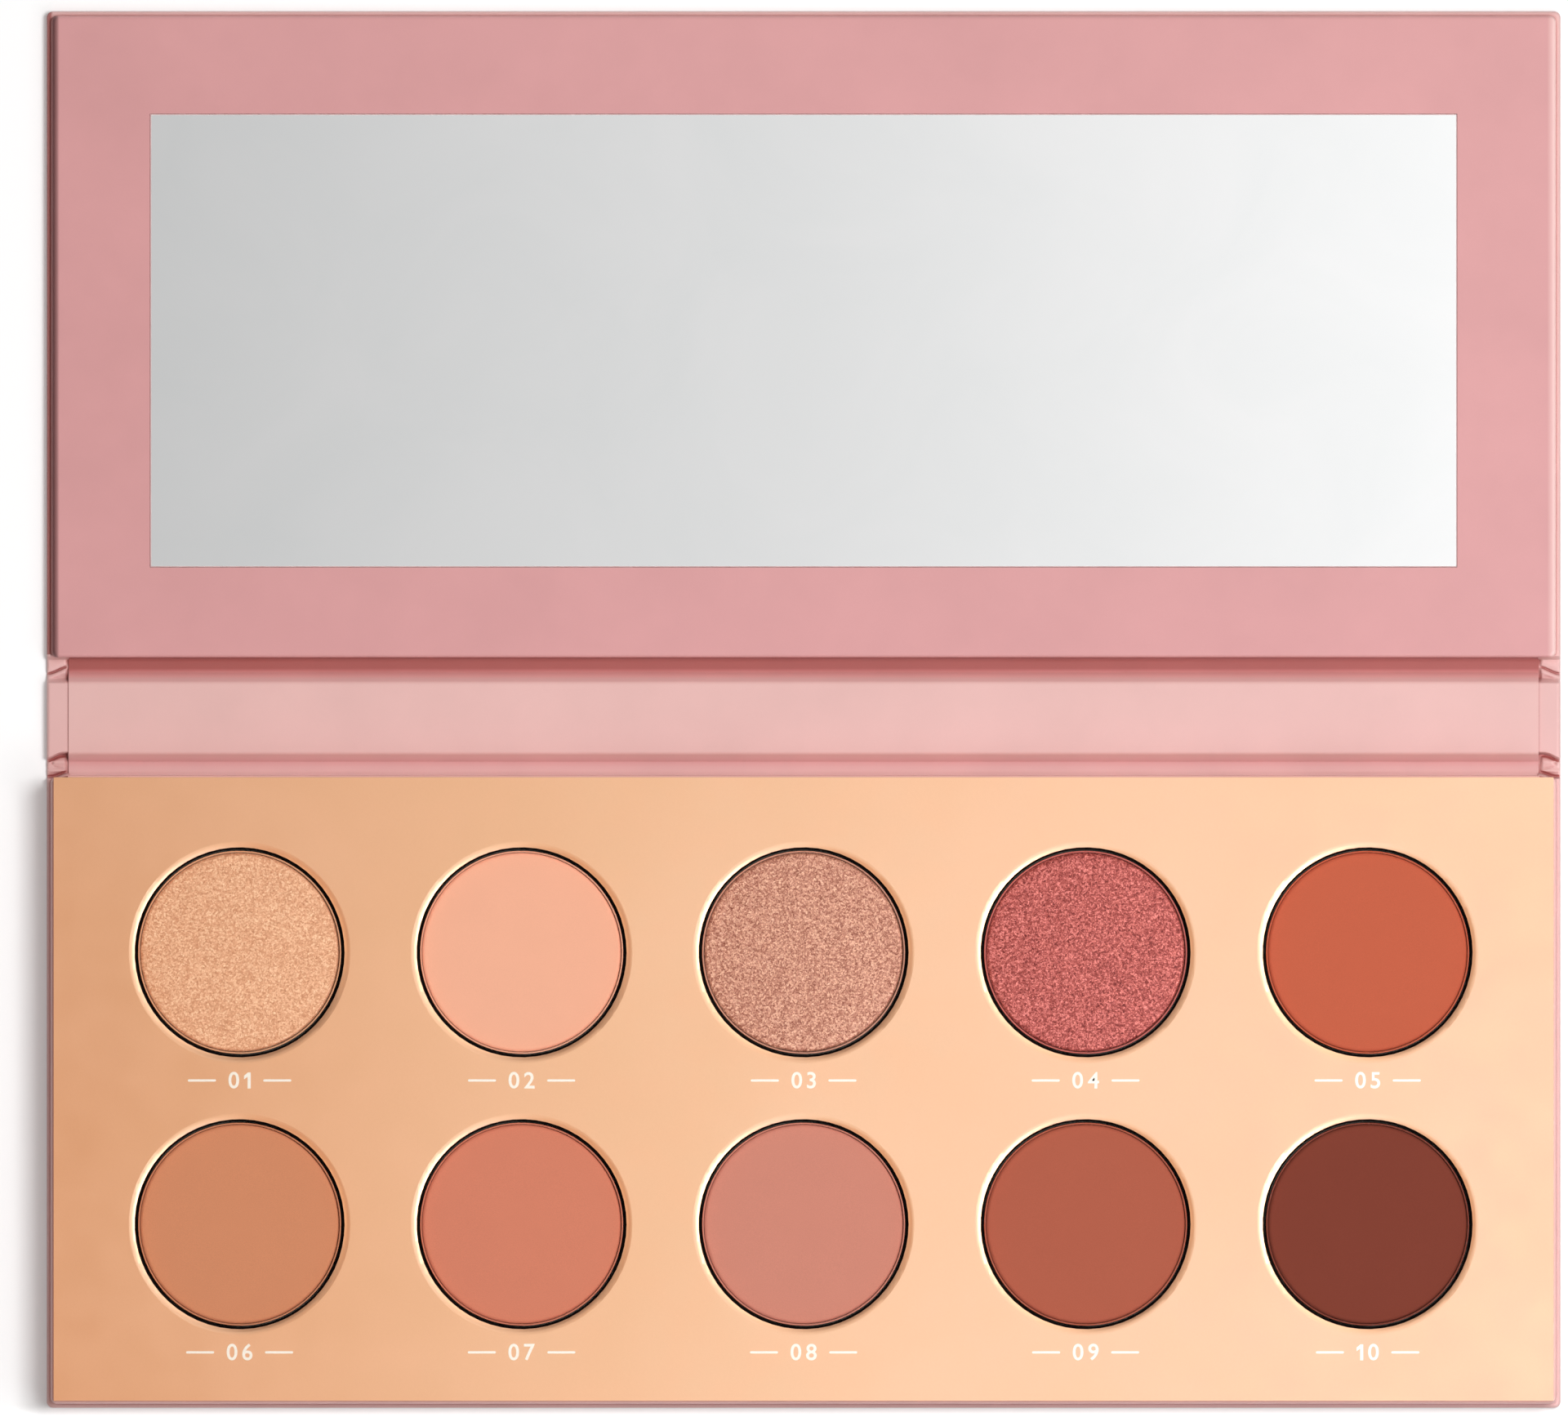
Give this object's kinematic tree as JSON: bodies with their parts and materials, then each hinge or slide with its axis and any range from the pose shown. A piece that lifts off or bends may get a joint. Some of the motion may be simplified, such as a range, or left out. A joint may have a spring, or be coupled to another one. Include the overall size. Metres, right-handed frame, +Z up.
{
  "type": "eyeshadow palette",
  "caption": "Book-style eyeshadow palette: a shallow tray of round powder pans under a foil card, and a mirrored lid that folds shut over it on two paper creases.",
  "frame": {"origin": "centre of the open palette on the surface that it lies on, midway between the two fold lines", "axes": "+X along the fold lines, left to right for the user; +Y from the tray towards the lid; +Z up"},
  "size_m": [0.194, 0.179, 0.0096],
  "materials": {
    "cover_paper": "soft-touch matt lamination",
    "frame_paper": "soft-touch matt lamination",
    "lining_paper": "soft-touch matt lamination",
    "greyboard": "raw board",
    "foil_card": "satin rose-gold foil",
    "black_foam": "matt foam",
    "pan_metal": "drawn sheet",
    "glue": "glue",
    "magnet": "plated",
    "mirror": "silvered acrylic",
    "powder_1": "shimmer pressed powder",
    "powder_2": "matt pressed powder",
    "powder_3": "shimmer pressed powder",
    "powder_4": "shimmer pressed powder",
    "powder_5": "matt pressed powder",
    "powder_6": "matt pressed powder",
    "powder_7": "matt pressed powder",
    "powder_8": "matt pressed powder",
    "powder_9": "matt pressed powder",
    "powder_10": "matt pressed powder"
  },
  "bodies": {
    "tray": {"base_wrap": "cover_paper", "base_board": "greyboard", "tray_frame": "greyboard", "tray_paper": "cover_paper", "tray_magnets": "magnet", "pan_riser": "greyboard", "pan_deck": "black_foam", "pan_glue_dots": "glue", "foil_card": "foil_card", "pan_1": "pan_metal", "pan_2": "pan_metal", "pan_3": "pan_metal", "pan_4": "pan_metal", "pan_5": "pan_metal", "pan_6": "pan_metal", "pan_7": "pan_metal", "pan_8": "pan_metal", "pan_9": "pan_metal", "pan_10": "pan_metal", "powder_1": "powder_1", "powder_2": "powder_2", "powder_3": "powder_3", "powder_4": "powder_4", "powder_5": "powder_5", "powder_6": "powder_6", "powder_7": "powder_7", "powder_8": "powder_8", "powder_9": "powder_9", "powder_10": "powder_10", "base_hinge_wrap": "cover_paper", "base_hinge_liner": "lining_paper"},
    "spine": {"spine_wrap": "cover_paper", "spine_board": "greyboard", "spine_liner": "lining_paper", "lid_hinge_wrap": "cover_paper", "lid_hinge_liner": "lining_paper"},
    "lid": {"lid_wrap": "cover_paper", "lid_board": "greyboard", "lid_frame": "greyboard", "lid_frame_paper": "frame_paper", "lid_magnets": "magnet", "mirror_glass": "mirror", "mirror_tape": "glue"}
  },
  "joints": [
    {"name": "spine_fold", "type": "hinge", "parent": "tray", "child": "spine", "pos_m": [0, -0.00628, 0.0001], "axis": [1, 0, 0], "range_deg": [0, 90], "deforming": ["base_hinge_wrap", "base_hinge_liner"]},
    {"name": "lid_fold", "type": "hinge", "parent": "spine", "child": "lid", "pos_m": [0, 0.00628, 0.0001], "axis": [1, 0, 0], "range_deg": [0, 90], "deforming": ["lid_hinge_wrap", "lid_hinge_liner"]}
  ]
}
